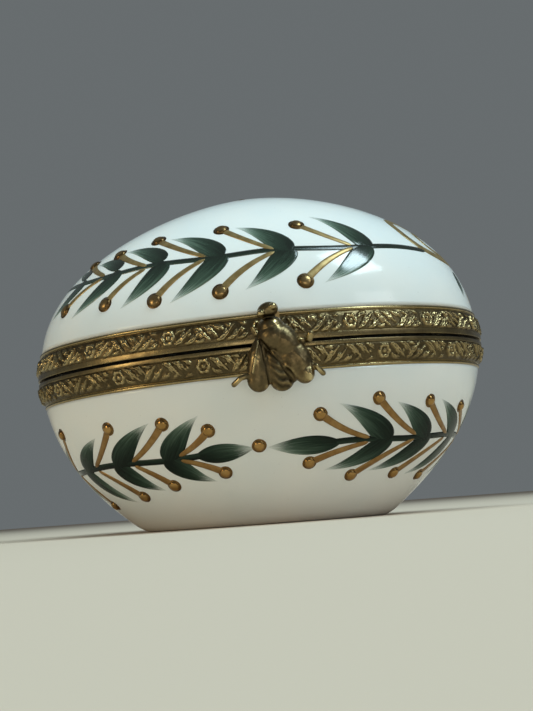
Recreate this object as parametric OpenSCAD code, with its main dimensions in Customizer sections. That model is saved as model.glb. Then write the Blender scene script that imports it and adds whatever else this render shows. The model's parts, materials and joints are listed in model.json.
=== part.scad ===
// Egg-shaped porcelain trinket box with a hinged lid, brass rim bands and a bee clasp.
// Origin at the centre of the flat foot, +Z up, +X along the egg towards its blunt end, clasp at -Y, hinge at +Y.

/* [Egg outline] */
// Half the porcelain's length at the rim
half_length = 32.4; // [28:0.1:36]
// Half the porcelain's width at the rim
half_width = 25; // [22:0.1:28]
// How much wider the blunt end is than the narrow end, as a share of the width
bluntness = 0.03; // [0:0.01:0.08]
// Height of the seam above the foot, at the middle of the box
rim_height = 23.3; // [21:0.1:26]
// Rise of the seam towards the blunt end, in degrees
rim_tilt = 1.55; // [0:0.05:3]
// Offset of the rim's centre from the foot's centre, along the egg
rim_offset = 0.7; // [-2:0.1:2]

/* [Lid] */
// Height of the dome above the seam
lid_height = 25; // [22:0.1:28]
// Power of the height in the dome's section
lid_power = 2.45; // [2:0.05:2.8]
// Power of the width in the dome's section
lid_round = 1.6; // [1.4:0.05:2]
// How much higher the dome is towards the blunt end, as a share of its height
lid_lean = 0.05; // [0:0.01:0.1]

/* [Base] */
// Depth of the whole bowl shape below the seam, before the foot cuts it
base_depth = 32; // [29:0.1:36]
// Power of the depth in the bowl's section
base_power = 2; // [1.8:0.05:2.4]
// Power of the width in the bowl's section
base_round = 1.27; // [1.1:0.01:1.6]
// How much deeper the bowl is towards the blunt end, as a share of its depth
base_lean = -0.04; // [-0.1:0.01:0.1]

/* [Porcelain] */
// Thickness of the porcelain walls
wall = 2.3; // [1.8:0.1:3]
// Thickness of the bowl's floor over the foot
floor_thickness = 3; // [2:0.1:4]
// Scale of the seat that the bands sit on, as a share of the rim outline
seat_scale = 0.98; // [0.97:0.005:0.985]

/* [Rim bands] */
// Height of the upper band above the seam plane
upper_band_height = 4.15; // [3.6:0.05:5]
// Height of the lower band below the seam plane
lower_band_height = 3.85; // [3.4:0.05:5]
// How far the bands stand out from the porcelain
band_proud = 0.9; // [0.6:0.05:1.2]
// Gap between the two rims when the box is closed
seam_gap = 0.4; // [0.2:0.05:0.6]
// Thickness of the flat flange that covers the porcelain edge
flange = 0.6; // [0.4:0.05:0.8]
// Thickness of the cement between porcelain and band
cement = 0.35; // [0.2:0.05:0.4]
// Depth of the skirt inside the mouth, below the flange
skirt_depth = 2.4; // [1.5:0.1:3]
// Thickness of the skirt
skirt = 0.35; // [0.25:0.05:0.5]

/* [Hinge] */
// Radius of the hinge barrel
knuckle_r = 1.25; // [1:0.05:1.5]
// Length of the middle knuckle, on the lid
lid_knuckle_length = 6; // [4:0.1:8]
// Length of each outer knuckle, on the base
base_knuckle_length = 3.6; // [2.5:0.1:5]
// Radius of the hinge pin
pin_r = 0.5; // [0.4:0.05:0.6]
// Radius of the heel that stops the lid when it is open
heel_r = 2.2; // [2:0.05:2.3]

/* [Clasp] */
// Lean of the bee's tail towards the blunt end, in degrees
bee_lean = 7; // [0:0.5:8]
// Offset of the bee from the middle of the rim, towards the blunt end
bee_offset = 0.4; // [0:0.1:2]
// Thickness of the spring tongue behind the bee
tongue = 0.4; // [0.3:0.05:0.5]
// Radius of the catch stud on the lower band
stud_r = 0.38; // [0.3:0.01:0.4]

/* [Hidden] */
$fn = 48;

porcelain_white = [0.93, 0.94, 0.92];
antique_brass = [0.58, 0.46, 0.23];
cement_grey = [0.75, 0.72, 0.66];

around = 72;              // points round each loop of the egg
half_gap = seam_gap / 2;
edge_z = half_gap + flange;        // distance of the porcelain edge from the seam plane
bisections = 24;
pin_clearance = 0.04;
knuckle_gap = 0.15;                // play between neighbouring knuckles
band_to_barrel = 0.1;              // clearance of the turning barrel from the band faces
band_y = half_width + band_proud;  // face of the bands at the middle of the front and back
hinge_y = band_y + knuckle_r + band_to_barrel;
hinge_length = lid_knuckle_length + 2 * (base_knuckle_length + knuckle_gap);

// Each porcelain surface: half length, half width, height, its two powers, lean, and side of the seam.
lid_outside = [half_length, half_width, lid_height, lid_power, lid_round, lid_lean, 1];
lid_inside = [half_length - wall, half_width - wall, lid_height - wall, lid_power, lid_round, lid_lean, 1];
base_outside = [half_length, half_width, base_depth, base_power, base_round, base_lean, -1];
base_inside = [half_length - wall, half_width - wall, base_depth - wall, base_power, base_round, base_lean, -1];

// Share of the outline that is left at a share u of the surface's height
function width_left(u, d) = pow(max(1 - pow(u, d[3]), 0), 1 / d[4]);

// Point of the egg-shaped outline at angle a, for an outline scaled by s
function outline_point(a, s, d) =
    [d[0] * s * cos(a), d[1] * s * sin(a) * (1 + bluntness * s * cos(a))];

// Outward direction of the outline there
function outline_normal(a, s, d) =
    let (e = bluntness * s,
         n = [d[1] * (cos(a) * (1 + e * cos(a)) - e * sin(a) * sin(a)), d[0] * sin(a)])
    n / norm(n);

function egg_outline(s, grow, d = lid_outside) =
    [for (i = [0:around - 1]) let (a = i * 360 / around)
        outline_point(a, s, d) + grow * outline_normal(a, s, d)];

// Point of a porcelain surface at angle a and share u of its height
function surface_point(a, u, d) =
    let (s = width_left(u, d), p = outline_point(a, s, d))
    [p.x, p.y, d[6] * d[2] * u * (1 + d[5] * s * cos(a))];

// Height of a point above the foot's plane
function above_foot(p) = rim_height + p.x * sin(rim_tilt) + p.z * cos(rim_tilt);

// Share u at which a surface is a distance z from the seam plane
function u_at_seam_distance(a, z, d, low = 0, high = 1, k = bisections) =
    let (mid = (low + high) / 2)
    k == 0 ? mid
    : abs(surface_point(a, mid, d).z) < z ? u_at_seam_distance(a, z, d, mid, high, k - 1)
    : u_at_seam_distance(a, z, d, low, mid, k - 1);

// Share u at which the bowl is a height h above the foot's plane
function u_above_foot(a, h, d, low = 0, high = 1, k = bisections) =
    let (mid = (low + high) / 2)
    k == 0 ? mid
    : above_foot(surface_point(a, mid, d)) > h ? u_above_foot(a, h, d, mid, high, k - 1)
    : u_above_foot(a, h, d, low, mid, k - 1);

// Flat loop of the outline at height z
function flat_loop(s, z, d) = [for (p = egg_outline(s, 0, d)) [p.x, p.y, z]];

// Loop on a surface, a share t of the way from a distance z off the seam to its crown
function crown_loop(z, t, d) =
    [for (i = [0:around - 1]) let (a = i * 360 / around, first = asin(u_at_seam_distance(a, z, d)))
        surface_point(a, sin(first + t * (90 - first)), d)];

// Loop on the bowl, a share t of the way from a distance z off the seam to a height h over the foot
function bowl_loop(z, h, t, d) =
    [for (i = [0:around - 1]) let (a = i * 360 / around, first = asin(u_at_seam_distance(a, z, d)),
                                   last = asin(u_above_foot(a, h, d)))
        surface_point(a, sin(first + t * (last - first)), d)];

// Loop in a plane parallel to the foot, a distance inset inside the bowl's surface
function floor_loop(h, inset, d) =
    [for (i = [0:around - 1]) let (a = i * 360 / around, p = surface_point(a, u_above_foot(a, h, d), d),
                                   k = 1 - inset / norm([p.x, p.y]))
        [p.x * k, p.y * k, p.z - p.x * (k - 1) * tan(rim_tilt)]];

// Point over the middle of the foot, at height h above it
function floor_centre(h) =
    [(h - rim_height) * sin(rim_tilt), 0, (h - rim_height) * cos(rim_tilt)];

// Closed skin through a list of loops, from one centre point to another
module skin(first, loops, last) {
    count = len(loops);
    points = concat([first], [for (l = loops) each l], [last]);
    function at(k, i) = 1 + k * around + i % around;
    polyhedron(points, concat(
        [for (i = [0:around - 1]) [0, at(0, i + 1), at(0, i)]],
        [for (k = [0:count - 2], i = [0:around - 1]) each [
            [at(k, i), at(k, i + 1), at(k + 1, i + 1)],
            [at(k, i), at(k + 1, i + 1), at(k + 1, i)]]],
        [for (i = [0:around - 1]) [at(count - 1, i), at(count - 1, i + 1), len(points) - 1]]));
}

// Moves a shape from the seam's own frame to its place over the foot
module on_rim() {
    translate([rim_offset, 0, rim_height]) rotate([0, -rim_tilt, 0]) children();
}

// Extrudes a profile drawn in Y and Z along X, centred on x
module along_x(length, x = 0) {
    translate([x, 0, 0]) rotate([90, 0, 90]) linear_extrude(length, center = true) children();
}

module egg_ring(s_out, grow_out, s_in, grow_in, z, height, d_in = lid_outside) {
    translate([0, 0, z]) linear_extrude(height) difference() {
        polygon(egg_outline(s_out, grow_out));
        polygon(egg_outline(s_in, grow_in, d_in));
    }
}

// Both rims are drawn above the seam plane. The lower one is mirrored.
module lower_side() {
    mirror([0, 0, 1]) children();
}

module cement_ring(band_height) {
    egg_ring(seat_scale, cement, seat_scale, 0, edge_z, band_height - edge_z);
}

module gallery_ring(band_height) {
    egg_ring(1, band_proud, seat_scale, cement, edge_z, band_height - edge_z);
}

// L-shaped rim: a flat flange over the porcelain edge and a skirt inside the mouth
module collar_ring() {
    egg_ring(1, band_proud, seat_scale, -skirt, half_gap, flange, lid_inside);
    translate([0, 0, edge_z]) linear_extrude(skirt_depth) difference() {
        polygon(egg_outline(seat_scale, 0, lid_inside));
        polygon(egg_outline(seat_scale, -skirt, lid_inside));
    }
}

module lid_dome() {
    ledge_z = upper_band_height;
    rows = 11;
    outer = [for (k = [rows - 1:-1:0]) crown_loop(ledge_z, k / rows, lid_outside)];
    inner = [for (k = [1:rows - 2]) crown_loop(ledge_z, k / (rows - 1), lid_inside)];
    seat = [flat_loop(seat_scale, ledge_z, lid_outside), flat_loop(seat_scale, edge_z, lid_outside),
            flat_loop(seat_scale, edge_z, lid_inside), flat_loop(seat_scale, ledge_z, lid_inside)];
    color(porcelain_white) on_rim()
        skin([0, 0, lid_height], concat(outer, seat, inner), [0, 0, lid_height - wall]);
}

module base_bowl() {
    ledge_z = lower_band_height;
    foot_round = 0.5;
    floor_round = 1.2;
    rows = 9;
    inner = [for (k = [rows:-1:1]) bowl_loop(ledge_z, floor_thickness + floor_round, k / rows, base_inside)];
    outer = [for (k = [0:rows]) bowl_loop(ledge_z, foot_round, k / rows, base_outside)];
    seat = [flat_loop(seat_scale, -ledge_z, base_inside), flat_loop(seat_scale, -edge_z, base_inside),
            flat_loop(seat_scale, -edge_z, base_outside), flat_loop(seat_scale, -ledge_z, base_outside)];
    color(porcelain_white) on_rim() skin(floor_centre(floor_thickness), concat(
        [floor_loop(floor_thickness, floor_round, base_inside)], inner, seat, outer,
        [floor_loop(0, foot_round, base_outside)]), floor_centre(0));
}

module lower_cement_bed() {
    color(cement_grey) on_rim() lower_side() cement_ring(lower_band_height);
}

module upper_cement_bed() {
    color(cement_grey) on_rim() cement_ring(upper_band_height);
}

module lower_gallery_band() {
    color(antique_brass) on_rim() lower_side() gallery_ring(lower_band_height);
}

module upper_gallery_band() {
    color(antique_brass) on_rim() gallery_ring(upper_band_height);
}

module lower_rim_collar() {
    color(antique_brass) on_rim() lower_side() collar_ring();
}

module upper_rim_collar() {
    color(antique_brass) on_rim() collar_ring();
}

// Takes the two rims' outer outline out of a shape, so that it fits against their faces
module against_bands() {
    reach = 6;
    difference() {
        children();
        translate([0, 0, -reach]) linear_extrude(2 * reach) polygon(egg_outline(1, band_proud));
    }
}

// Barrel with a web that runs up to the band above the seam plane
module knuckle_profile() {
    web_height = 3.2;
    web_root = band_y - 1.5;
    translate([hinge_y, 0]) circle(knuckle_r);
    polygon([[web_root, half_gap], [hinge_y, half_gap],
             [hinge_y + knuckle_r * cos(72), knuckle_r * sin(72)], [web_root, web_height]]);
}

module hinge_bore(r) {
    translate([0, hinge_y, 0]) rotate([0, 90, 0]) cylinder(hinge_length + 2, r = r, center = true);
}

module lower_hinge_knuckles() {
    x = (lid_knuckle_length + base_knuckle_length) / 2 + knuckle_gap;
    color(antique_brass) on_rim() difference() {
        against_bands() lower_side() for (side = [-1, 1])
            along_x(base_knuckle_length, side * x) knuckle_profile();
        hinge_bore(pin_r);
    }
}

module upper_hinge_knuckle() {
    heel_from = -26;   // the heel's two sides, in degrees up from straight back
    heel_to = 10;
    long = 2 * heel_r;
    color(antique_brass) on_rim() difference() {
        against_bands() along_x(lid_knuckle_length) {
            knuckle_profile();
            translate([hinge_y, 0]) intersection() {
                circle(heel_r);
                polygon([[0, 0], long * [cos(heel_from), sin(heel_from)], long * [cos(heel_to), sin(heel_to)]]);
            }
        }
        hinge_bore(pin_r + pin_clearance);
    }
}

// Hinge pin with a peened head at each end
module hinge_pin() {
    head = 0.3;
    head_r = 0.8;
    color(antique_brass) on_rim() translate([0, hinge_y, 0]) rotate([0, 90, 0]) {
        cylinder(hinge_length + 2 * head, r = pin_r, center = true);
        for (end = [-1, 1]) translate([0, 0, end * (hinge_length + head) / 2])
            cylinder(head, r = head_r, center = true);
    }
}

// Half-round stud that the tongue's nib passes under
module catch_stud() {
    stud_z = -1.7;
    stud_length = 2.4;
    color(antique_brass) on_rim() against_bands()
        translate([bee_offset, -band_y + 0.1, stud_z]) rotate([0, 90, 0])
            cylinder(stud_length, r = stud_r + 0.1, center = true);
}

tongue_half_width = 0.9;
tongue_top = 3.9;
tongue_standoff = 0.56;            // distance of the tongue from the lower band's face
bee_back = band_y + tongue_standoff + tongue;

// Spring strip: it bends at the rolled foot on the upper band, and its nib passes below the stud
module clasp_tongue() {
    foot_gap = 0.05;
    roll_r = 0.35;
    roll_z = 3.55;
    foot_end = 2.9;
    nib = [2.4, 3];                // the nib's span below the seam plane
    nib_reach = 0.13;
    front = -bee_back;
    back = front + tongue;
    foot_back = -band_y - foot_gap;
    color(antique_brass) on_rim() translate([bee_offset, 0, 0]) along_x(2 * tongue_half_width) {
        translate([foot_back - roll_r, roll_z]) circle(roll_r);
        polygon([[foot_back, roll_z], [foot_back - roll_r, roll_z], [back, tongue_top], [front, tongue_top],
                 [front, -nib[1]], [back + nib_reach, -nib[1]], [back + nib_reach, -nib[0]],
                 [back, -nib[0]], [back, foot_end], [foot_back, foot_end]]);
    }
}

// One leg as a round rod between two places on the bee's back plane, [across, up]
module bee_leg(from, to) {
    leg_r = 0.32;
    d = to - from;
    translate([from.x, -leg_r, from.y]) rotate([0, atan2(d.x, d.y), 0]) {
        cylinder(norm(d), r = leg_r);
        translate([0, 0, norm(d)]) sphere(leg_r);
    }
}

module bee_wing() {
    wing_thickness = 0.9;
    rotate([90, 0, 0]) linear_extrude(wing_thickness)
        polygon([[0.4, 2.1], [1.9, 2], [2.9, 0.6], [3.9, -1.6], [4.3, -3.6], [4.3, -5], [3.4, -6.1],
                 [2.2, -6.1], [0.4, -2]]);
}

// Cast bee, seen from its back with the head up and the wings folded down
module bee_clasp() {
    body_forward = 0.4;
    // Radius and height of the turned body: abdomen, waist, thorax, neck and head
    body = [[0, -6.2], [0.9, -5.8], [1.6, -4], [1.7, -2], [1.5, -0.8], [2.1, 0], [2.5, 1.2],
            [2.1, 2.3], [1.3, 2.8], [1.5, 3.6], [1.3, 4.6], [0, 5.2]];
    color(antique_brass) on_rim() translate([bee_offset, -bee_back, 0]) rotate([0, -bee_lean, 0]) difference() {
        union() {
            translate([0, -body_forward, 0]) rotate_extrude() polygon(body);
            for (side = [0, 1]) mirror([side, 0, 0]) {
                bee_wing();
                bee_leg([2.4, 0], [4.6, 0.3]);
                bee_leg([3.6, -3.6], [5.9, -4.8]);
            }
        }
        translate([-10, 0, -10]) cube([20, 5, 20]);
    }
}

base_bowl();
lower_cement_bed();
lower_rim_collar();
lower_gallery_band();
catch_stud();
lower_hinge_knuckles();
hinge_pin();
lid_dome();
upper_cement_bed();
upper_rim_collar();
upper_gallery_band();
upper_hinge_knuckle();
clasp_tongue();
bee_clasp();
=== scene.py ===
import json
import math
import random

import bmesh
import bpy
import numpy as np
from mathutils import Matrix, Vector


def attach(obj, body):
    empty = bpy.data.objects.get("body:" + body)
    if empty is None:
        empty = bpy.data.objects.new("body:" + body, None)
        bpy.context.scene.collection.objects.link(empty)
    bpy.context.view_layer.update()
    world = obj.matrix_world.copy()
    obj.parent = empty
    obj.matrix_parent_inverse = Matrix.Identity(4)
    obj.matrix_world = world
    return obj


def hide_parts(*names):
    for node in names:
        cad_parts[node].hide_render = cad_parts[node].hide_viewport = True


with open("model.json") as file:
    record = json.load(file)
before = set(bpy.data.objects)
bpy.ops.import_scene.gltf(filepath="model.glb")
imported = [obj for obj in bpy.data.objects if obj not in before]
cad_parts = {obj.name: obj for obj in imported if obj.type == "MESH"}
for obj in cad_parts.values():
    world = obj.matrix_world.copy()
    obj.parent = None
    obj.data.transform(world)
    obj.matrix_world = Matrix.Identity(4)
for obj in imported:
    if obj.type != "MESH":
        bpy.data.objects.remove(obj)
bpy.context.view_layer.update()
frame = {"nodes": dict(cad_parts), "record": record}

MM = 0.001
TURN = 2 * math.pi

# ---- driving dimensions, as in the CAD
HALF_LENGTH, HALF_WIDTH, BLUNTNESS = 32.4, 25.0, 0.03
WALL, FLOOR = 2.3, 3.0
SEAT_SCALE = 0.98
UPPER_BAND, LOWER_BAND = 4.15, 3.85  # heights of the bands from the seam plane
HALF_GAP = 0.2  # half the seam's gap
FLANGE = 0.6
BAND_Y = HALF_WIDTH + 0.9  # face of the bands at the middle of front and back
BEE_BACK = BAND_Y + 0.96  # plane of the bee's flat back

hinge = next(j for j in frame["record"]["behaviour"]["joints"] if j["name"] == "lid_hinge")
RIM_TILT = math.atan2(-hinge["axis"][2], -hinge["axis"][0])
RIM_OFFSET = hinge["pos_m"][0] / MM
RIM_HEIGHT = hinge["pos_m"][2] / MM
TO_ROW = np.array([[math.cos(RIM_TILT), 0, -math.sin(RIM_TILT)],
                   [0, 1, 0],
                   [math.sin(RIM_TILT), 0, math.cos(RIM_TILT)]])


def place(points):
    """Points in the seam's frame, in mm, as points in the row frame, in metres."""
    return (np.asarray(points, float) @ TO_ROW.T + [RIM_OFFSET, 0, RIM_HEIGHT]) * MM


# ---- meshes
def grid_faces(rows, columns, close_rows=False, close_columns=False):
    """Quads of a grid whose points are numbered row by row."""
    r = np.arange(rows if close_rows else rows - 1)
    c = np.arange(columns if close_columns else columns - 1)
    r, c = np.meshgrid(r, c, indexing="ij")
    here, next_row, c2 = r * columns, (r + 1) % rows * columns, (c + 1) % columns
    return np.stack([here + c, here + c2, next_row + c2, next_row + c], -1).reshape(-1, 4)


def add_mesh(name, points, faces, material, body, uv=None, values=None, replaces=(), flat=None):
    """A piece from points in mm, riding on a body. uv and values are given per point, flat per face."""
    mesh = bpy.data.meshes.new(name)
    mesh.from_pydata(place(points).tolist(), [], [list(map(int, f)) for f in faces])
    corner = np.zeros(len(mesh.loops), np.int64)
    mesh.loops.foreach_get("vertex_index", corner)
    if uv is not None:
        mesh.uv_layers.new(name="UVMap").data.foreach_set("uv", np.asarray(uv, np.float32)[corner].ravel())
    for key, value in (values or {}).items():
        mesh.attributes.new(key, "FLOAT", "POINT").data.foreach_set("value", np.asarray(value, np.float32))
    smooth = np.ones(len(mesh.polygons), bool) if flat is None else ~np.asarray(flat, bool)
    mesh.polygons.foreach_set("use_smooth", smooth)
    mesh.update()
    obj = bpy.data.objects.new(name, mesh)
    bpy.context.scene.collection.objects.link(obj)
    outward(obj)
    obj.data.materials.append(material)
    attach(obj, body)
    if replaces:
        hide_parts(*replaces)


def outward(obj):
    """Turns the faces of each closed shell outwards."""
    bm = bmesh.new()
    bm.from_mesh(obj.data)
    if all(e.is_manifold for e in bm.edges):
        bmesh.ops.recalc_face_normals(bm, faces=bm.faces)
        bm.to_mesh(obj.data)
    bm.free()


class Patches:
    """Gathers small closed meshes into one piece. The first faces of each are smooth, the rest flat."""

    def __init__(self):
        self.points, self.faces, self.uv, self.tone, self.flat, self.count = [], [], [], [], [], 0

    def add(self, points, faces, uv, smooth_faces, tone):
        self.points.append(points)
        self.faces.extend([[int(i) + self.count for i in face] for face in faces])
        self.flat.extend([k >= smooth_faces for k in range(len(faces))])
        self.uv.append(uv)
        self.tone.append(np.full(len(points), tone))
        self.count += len(points)

    def build(self, name, material, body, slot):
        add_mesh(name, np.concatenate(self.points), self.faces, material, body,
                 np.concatenate(self.uv), {"tone": np.concatenate(self.tone)}, flat=self.flat)


# ---- the egg
def outline(theta, scale, grow, inset=0.0):
    """Egg-shaped outline at angles theta, scaled, and moved outwards by grow."""
    a, b = HALF_LENGTH - inset, HALF_WIDTH - inset
    c, s = np.cos(theta), np.sin(theta)
    e = BLUNTNESS * scale
    x, y = a * scale * c, b * scale * s * (1 + e * c)
    nx, ny = b * (c * (1 + e * c) - e * s * s), a * s
    length = np.hypot(nx, ny)
    return x + grow * nx / length, y + grow * ny / length


def level_loop(theta, z, scale=1.0, grow=0.0, inset=0.0):
    """The outline at a height z over the seam plane."""
    x, y = outline(theta, scale, grow, inset)
    return np.stack([x, y, np.full(len(theta), float(z))], -1)


class Shell:
    """One porcelain surface. At a share u of its height the outline is left with a share width(u)."""

    def __init__(self, height, power, roundness, lean, side, inset=0.0):
        self.h, self.p, self.q = height - inset, power, roundness
        self.lean, self.side, self.inset = lean, side, inset

    def width(self, u):
        return np.maximum(1 - u ** self.p, 0) ** (1 / self.q)

    def point(self, theta, u):
        s = self.width(u)
        x = (HALF_LENGTH - self.inset) * s * np.cos(theta)
        y = (HALF_WIDTH - self.inset) * s * np.sin(theta) * (1 + BLUNTNESS * s * np.cos(theta))
        return np.stack([x, y, self.side * self.h * u * (1 + self.lean * s * np.cos(theta))], -1)

    def share_where(self, theta, test):
        """Largest share u at each angle for which test(point) still holds."""
        low, high = np.zeros_like(theta), np.ones_like(theta)
        for _ in range(30):
            mid = (low + high) / 2
            inside = test(self.point(theta, mid))
            low, high = np.where(inside, mid, low), np.where(inside, high, mid)
        return low

    def share_at_z(self, theta, z):
        return self.share_where(theta, lambda p: np.abs(p[..., 2]) < z)

    def share_above_foot(self, theta, h):
        return self.share_where(theta, lambda p: place(p)[..., 2] / MM > h)

    def field(self, p):
        x = p[..., 0] / (HALF_LENGTH - self.inset)
        y = p[..., 1] / ((HALF_WIDTH - self.inset) * (1 + BLUNTNESS * x))
        u = np.abs(p[..., 2]) / (self.h * (1 + self.lean * x))
        return np.hypot(x, y) ** self.q + u ** self.p - 1

    def normal(self, p):
        step = 1e-3
        g = np.stack([self.field(p + step * e) - self.field(p - step * e) for e in np.eye(3)], -1)
        return g / np.linalg.norm(g, axis=-1, keepdims=True)

    def drape(self, p, lift=0.0):
        """Moves points onto the surface, along lines from the middle of the rim, and then lifts them."""
        p = np.asarray(p, float)
        low, high = np.full(p.shape[:-1], 0.3), np.full(p.shape[:-1], 2.0)
        for _ in range(30):
            mid = (low + high) / 2
            inside = self.field(p * mid[..., None]) < 0
            low, high = np.where(inside, mid, low), np.where(inside, high, mid)
        p = p * low[..., None]
        return p + self.normal(p) * np.asarray(lift)[..., None]

    def at(self, degrees, z):
        """Surface point a distance z from the seam plane, in the direction degrees seen from above."""
        turn = math.radians(degrees)
        b = HALF_WIDTH * (1 + 0.9 * BLUNTNESS * math.cos(turn))
        theta = np.array([math.atan2(HALF_LENGTH * math.sin(turn), b * math.cos(turn))])
        return self.point(theta, self.share_at_z(theta, z))[0]


LID = dict(height=25.0, power=2.45, roundness=1.6, lean=0.05, side=1)
BASE = dict(height=32.0, power=2.0, roundness=1.27, lean=-0.04, side=-1)
lid_outside, lid_inside = Shell(**LID), Shell(**LID, inset=WALL)
base_outside, base_inside = Shell(**BASE), Shell(**BASE, inset=WALL)


# ---- materials
class Nodes:
    """Short forms for building a material's nodes."""

    def __init__(self, name):
        self.material = bpy.data.materials.new(name)
        self.material.use_nodes = True
        self.tree = self.material.node_tree
        self.shader = self.tree.nodes["Principled BSDF"]

    def add(self, kind, **settings):
        node = self.tree.nodes.new(kind)
        for key, value in settings.items():
            setattr(node, key, value)
        return node

    def link(self, a, b):
        self.tree.links.new(a, b)

    def put(self, node, **inputs):
        """Sets or links inputs, which are named with underscores for spaces, or numbered i0, i1."""
        for key, value in inputs.items():
            socket = node.inputs[int(key[1:]) if key[1:].isdigit() else key.replace("_", " ")]
            if isinstance(value, bpy.types.NodeSocket):
                self.link(value, socket)
            else:
                socket.default_value = (*value, 1) if socket.type == "RGBA" else value
        return node

    def math(self, operation, a, b=0.0, clamp=False):
        node = self.add("ShaderNodeMath", operation=operation, use_clamp=clamp)
        return self.put(node, i0=a, i1=b).outputs[0]

    def swing(self, base, value, amount, clamp=False):
        """base, moved by an amount times how far the value is from its middle, 0.5."""
        move = self.math("MULTIPLY", self.math("SUBTRACT", value, 0.5), amount)
        return self.math("ADD", base, move, clamp)

    def noise(self, vector, scale, detail, roughness=0.55):
        node = self.add("ShaderNodeTexNoise")
        self.put(node, Vector=vector, Scale=scale, Detail=detail, Roughness=roughness)
        return node.outputs["Fac"]

    def scaled(self, x, x_scale, y, y_scale, z, z_scale):
        """A vector of three scaled values."""
        node = self.add("ShaderNodeCombineXYZ")
        self.put(node, X=self.math("MULTIPLY", x, x_scale), Y=self.math("MULTIPLY", y, y_scale))
        return self.put(node, Z=self.math("MULTIPLY", z, z_scale)).outputs[0]

    def ramp(self, value, *stops):
        node = self.add("ShaderNodeValToRGB")
        elements = node.color_ramp.elements
        while len(elements) < len(stops):
            elements.new(0.5)
        for element, (position, colour) in zip(elements, stops):
            element.position = position
            element.color = (*colour, 1)
        self.link(value, node.inputs["Fac"])
        return node.outputs["Color"]

    def mix(self, share, a, b):
        node = self.add("ShaderNodeMix", data_type="RGBA")
        return self.put(node, i0=share, i6=a, i7=b).outputs[2]

    def span(self, value, low, high, to_low=0.0, to_high=1.0):
        node = self.add("ShaderNodeMapRange", interpolation_type="SMOOTHSTEP")
        self.put(node, Value=value, From_Min=low, From_Max=high, To_Min=to_low, To_Max=to_high)
        return node.outputs[0]

    def bump(self, height, distance, **more):
        node = self.add("ShaderNodeBump")
        return self.put(node, Height=height, Distance=distance, **more).outputs["Normal"]

    def object_place(self):
        return self.add("ShaderNodeTexCoord").outputs["Object"]

    def value(self, name):
        return self.add("ShaderNodeAttribute", attribute_name=name).outputs["Fac"]

    def uv(self):
        node = self.add("ShaderNodeSeparateXYZ")
        self.link(self.add("ShaderNodeTexCoord").outputs["UV"], node.inputs[0])
        return node.outputs[0], node.outputs[1]


GLAZE = (0.80, 0.82, 0.80)


def make_porcelain():
    n = Nodes("glazed_porcelain")
    at = n.object_place()
    cloud = n.noise(at, 70, 2)
    colour = n.mix(n.span(cloud, 0.3, 0.7), (0.78, 0.81, 0.80), (0.84, 0.84, 0.81))
    specks = n.span(n.noise(at, 2600, 1), 0.76, 0.8)
    colour = n.mix(n.math("MULTIPLY", specks, 0.25), colour, (0.42, 0.38, 0.33))
    n.put(n.shader, Base_Color=colour, Roughness=0.12, Specular_IOR_Level=0.32)
    n.put(n.shader, Coat_Weight=0.1, Coat_Roughness=0.04)
    n.put(n.shader, Subsurface_Weight=0.12, Subsurface_Radius=(1.0, 0.9, 0.8), Subsurface_Scale=0.0012)
    ripple = n.bump(n.noise(at, 160, 2), 0.00006)
    n.put(n.shader, Normal=n.bump(n.noise(at, 900, 2), 0.000004, Normal=ripple))
    return n.material


def make_leaf_paint(name, gloss, painted_shade):
    """Dark green brush strokes: dense where the brush was set down, streaky and pale towards the tip."""
    n = Nodes(name)
    along, across = n.uv()
    tone = n.value("tone")
    streak = n.noise(n.scaled(along, 1.6, across, 9.0, tone, 37.0), 1.0, 4, 0.65)
    hair = n.noise(n.scaled(along, 5.0, across, 34.0, tone, 11.0), 1.0, 3, 0.6)
    thin = n.swing(n.swing(along, streak, 0.9), hair, 0.45)
    thin = n.swing(n.swing(thin, across, 0.5), tone, 0.3)
    colour = n.ramp(thin, (0.0, (0.007, 0.013, 0.008)), (0.34, (0.018, 0.036, 0.023)),
                    (0.6, (0.048, 0.084, 0.058)), (0.84, (0.125, 0.185, 0.14)), (1.0, (0.26, 0.34, 0.28)))
    # painted shade: darkens the colour by the given share, for leaves that stand in shade
    colour = n.mix(painted_shade, colour, (0.002, 0.006, 0.004))
    veil = n.span(n.swing(along, hair, 0.7), 0.7, 1.1)
    n.put(n.shader, Base_Color=n.mix(veil, colour, GLAZE), Roughness=0.12, Specular_IOR_Level=gloss)
    n.put(n.shader, Normal=n.bump(n.math("ADD", streak, hair), 0.00001))
    return n.material


def make_gold(name, dark, light, metal, rough, ripple, domed=False):
    """Gold laid on the glaze: brushed flat it is dull and streaky, raised in domes it is smooth."""
    n = Nodes(name)
    at = n.object_place()
    cloud = n.noise(at, 900, 3)
    colour = n.mix(n.span(cloud, 0.3, 0.75), dark, light)
    if domed:  # painted dark reflection round the foot of each dome
        u, v = n.uv()
        x, y = n.math("SUBTRACT", u, 0.5), n.math("SUBTRACT", v, 0.5)
        far = n.math("SQRT", n.math("ADD", n.math("MULTIPLY", x, x), n.math("MULTIPLY", y, y)))
        colour = n.mix(n.span(far, 0.13, 0.2, 0.0, 0.72), colour, (0.075, 0.036, 0.012))
    n.put(n.shader, Base_Color=colour, Metallic=metal)
    n.put(n.shader, Roughness=n.span(cloud, 0.2, 0.8, rough - 0.05, rough + 0.05))
    n.put(n.shader, Normal=n.bump(n.noise(at, 1500, 2), ripple))
    return n.material


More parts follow.
